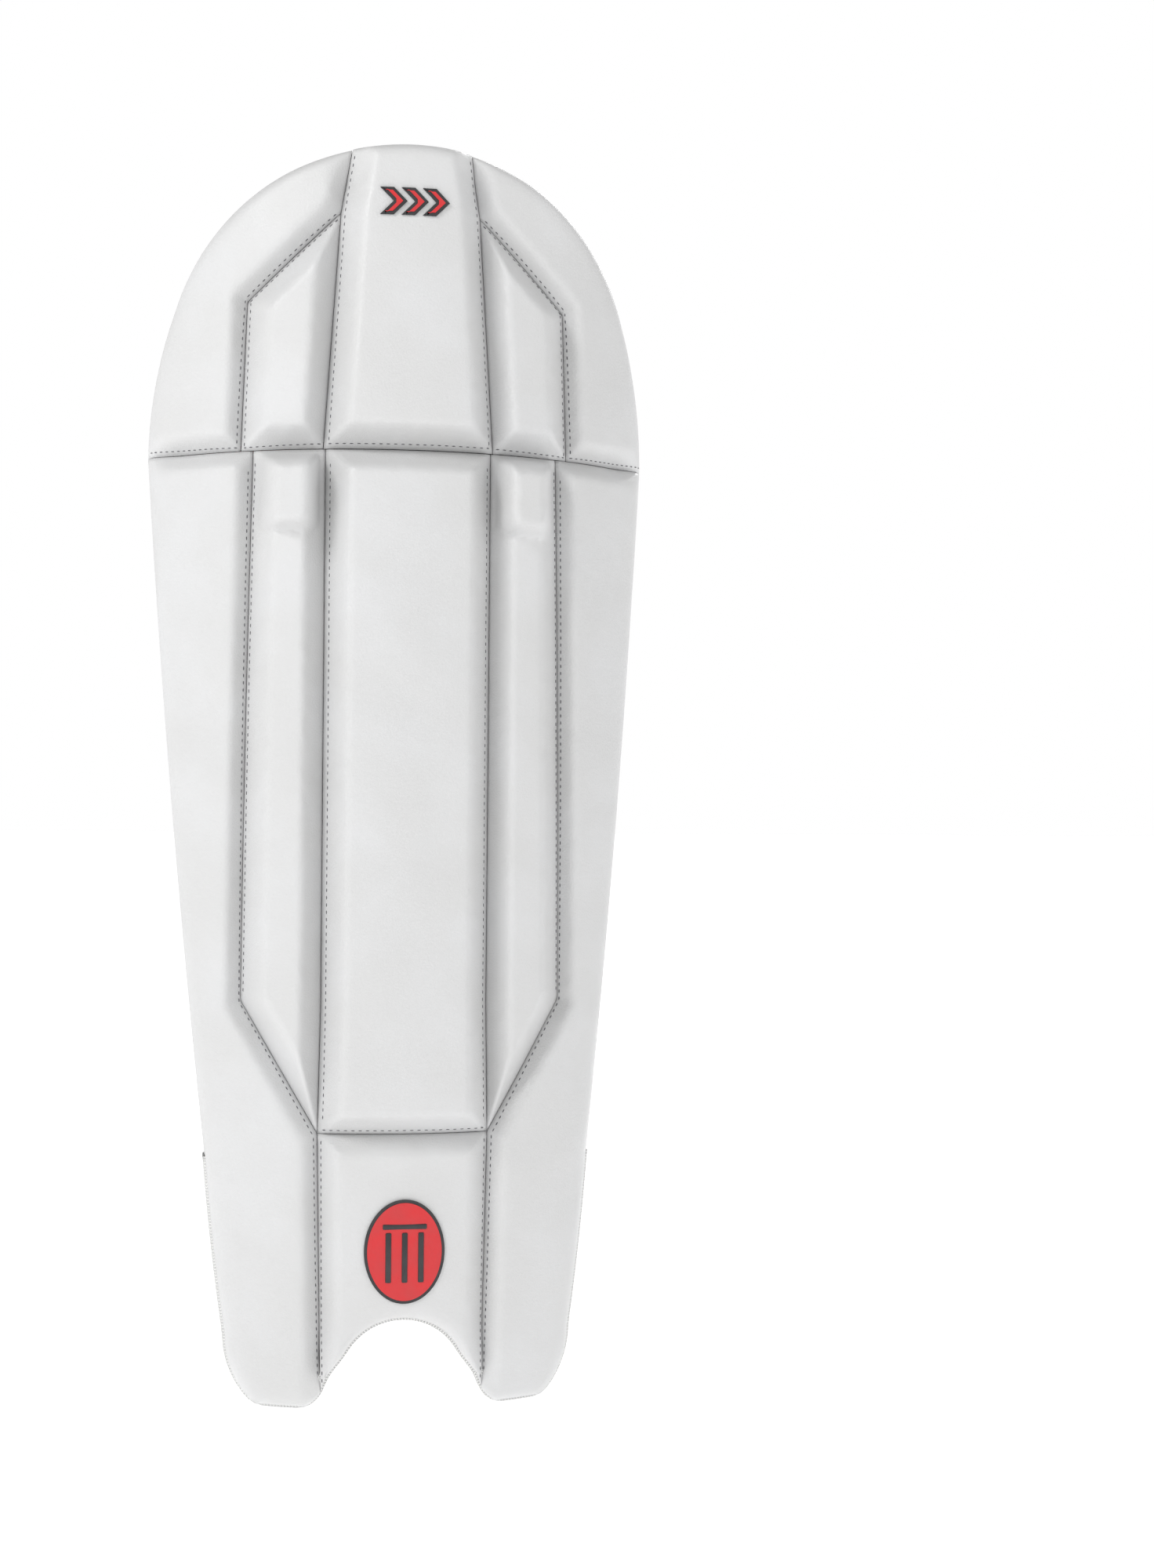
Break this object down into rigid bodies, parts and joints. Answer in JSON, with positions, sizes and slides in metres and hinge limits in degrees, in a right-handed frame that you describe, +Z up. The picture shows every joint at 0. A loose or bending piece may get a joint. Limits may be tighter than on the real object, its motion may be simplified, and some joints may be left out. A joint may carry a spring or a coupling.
{
  "type": "cricket leg pad",
  "caption": "Wicket-keeper's leg pad: padded white front shell, rear bolsters, knee cushion and elastic straps with rings and hook tabs, standing on its lobes.",
  "frame": {"origin": "below the centre of the whole pad, on the surface its two lobes stand on", "axes": "+Z up along the leg, +Y to the rear towards the leg, +X to the wearer's left"},
  "size_m": [0.2704, 0.1138, 0.6597],
  "materials": {
    "white_pu": "satin",
    "foam": "matte",
    "board": "matte",
    "grey_lining": "matte",
    "pale_cloth": "matte",
    "white_tape": "matte",
    "red_mesh": "matte",
    "printed_pu": "gloss",
    "black_pu": "satin",
    "white_thread": "matte",
    "loop_cloth": "matte",
    "elastic": "matte",
    "white_plastic": "gloss",
    "black_rubber": "satin",
    "hook_tape": "matte",
    "badge": "satin"
  },
  "bodies": {
    "shin": {"centre_roll_cover": "white_pu", "centre_roll_foam": "foam", "instep_cover": "white_pu", "instep_foam": "foam", "rib_left_cover": "white_pu", "rib_left_foam": "foam", "wing_left_cover": "white_pu", "wing_left_foam": "foam", "rib_right_cover": "white_pu", "rib_right_foam": "foam", "wing_right_cover": "white_pu", "wing_right_foam": "foam", "shin_board": "board", "shin_lining": "grey_lining", "foot_lining": "white_pu", "edge_binding": "white_tape", "bolster_centre_cover": "printed_pu", "bolster_centre_foam": "foam", "bolster_left_cover": "red_mesh", "bolster_left_foam": "foam", "bolster_right_cover": "red_mesh", "bolster_right_foam": "foam", "bolster_backing": "pale_cloth", "bolster_tuft": "white_thread", "upper_landing": "loop_cloth", "lower_landing": "loop_cloth", "instep_badge": "badge"},
    "knee": {"knee_centre_cover": "white_pu", "knee_centre_foam": "foam", "knee_rib_left_cover": "white_pu", "knee_rib_left_foam": "foam", "knee_flank_left_cover": "white_pu", "knee_flank_left_foam": "foam", "knee_rib_right_cover": "white_pu", "knee_rib_right_foam": "foam", "knee_flank_right_cover": "white_pu", "knee_flank_right_foam": "foam", "knee_board": "board", "knee_lining": "grey_lining", "knee_cushion_cover": "black_pu", "knee_cushion_foam": "foam", "top_badge": "badge"},
    "upper_buckle": {"upper_ring": "white_plastic", "upper_anchor_loop": "elastic"},
    "upper_elastic": {"upper_strap": "elastic"},
    "upper_end": {"upper_tab": "black_rubber", "upper_hook_patch": "hook_tape"},
    "lower_buckle": {"lower_ring": "white_plastic", "lower_anchor_loop": "elastic"},
    "lower_elastic": {"lower_strap": "elastic"},
    "lower_end": {"lower_tab": "black_rubber", "lower_hook_patch": "hook_tape"}
  },
  "joints": [
    {"name": "knee_flex", "type": "hinge", "parent": "shin", "child": "knee", "pos_m": [0, -0.0557, 0.5015], "axis": [1, 0, 0], "range_deg": [0, 8], "stiffness_Nm_per_rad": 20},
    {"name": "upper_ring_swing", "type": "hinge", "parent": "shin", "child": "upper_buckle", "pos_m": [0.12272, 0.03738, 0.387], "axis": [0, 0, -1], "range_deg": [0, 25]},
    {"name": "upper_strap_swing", "type": "hinge", "parent": "upper_buckle", "child": "upper_elastic", "pos_m": [0.08143, 0.05114, 0.387], "axis": [0, 0, -1], "range_deg": [0, 130]},
    {"name": "upper_tab_peel", "type": "hinge", "parent": "upper_elastic", "child": "upper_end", "pos_m": [-0.09873, 0.0449, 0.387], "axis": [0, 0, -1], "range_deg": [0, 60]},
    {"name": "lower_ring_swing", "type": "hinge", "parent": "shin", "child": "lower_buckle", "pos_m": [0.09969, 0.01286, 0.167], "axis": [0, 0, -1], "range_deg": [0, 25]},
    {"name": "lower_strap_swing", "type": "hinge", "parent": "lower_buckle", "child": "lower_elastic", "pos_m": [0.05854, 0.02701, 0.167], "axis": [0, 0, -1], "range_deg": [0, 130]},
    {"name": "lower_tab_peel", "type": "hinge", "parent": "lower_elastic", "child": "lower_end", "pos_m": [-0.07576, 0.0206, 0.167], "axis": [0, 0, -1], "range_deg": [0, 60]}
  ]
}
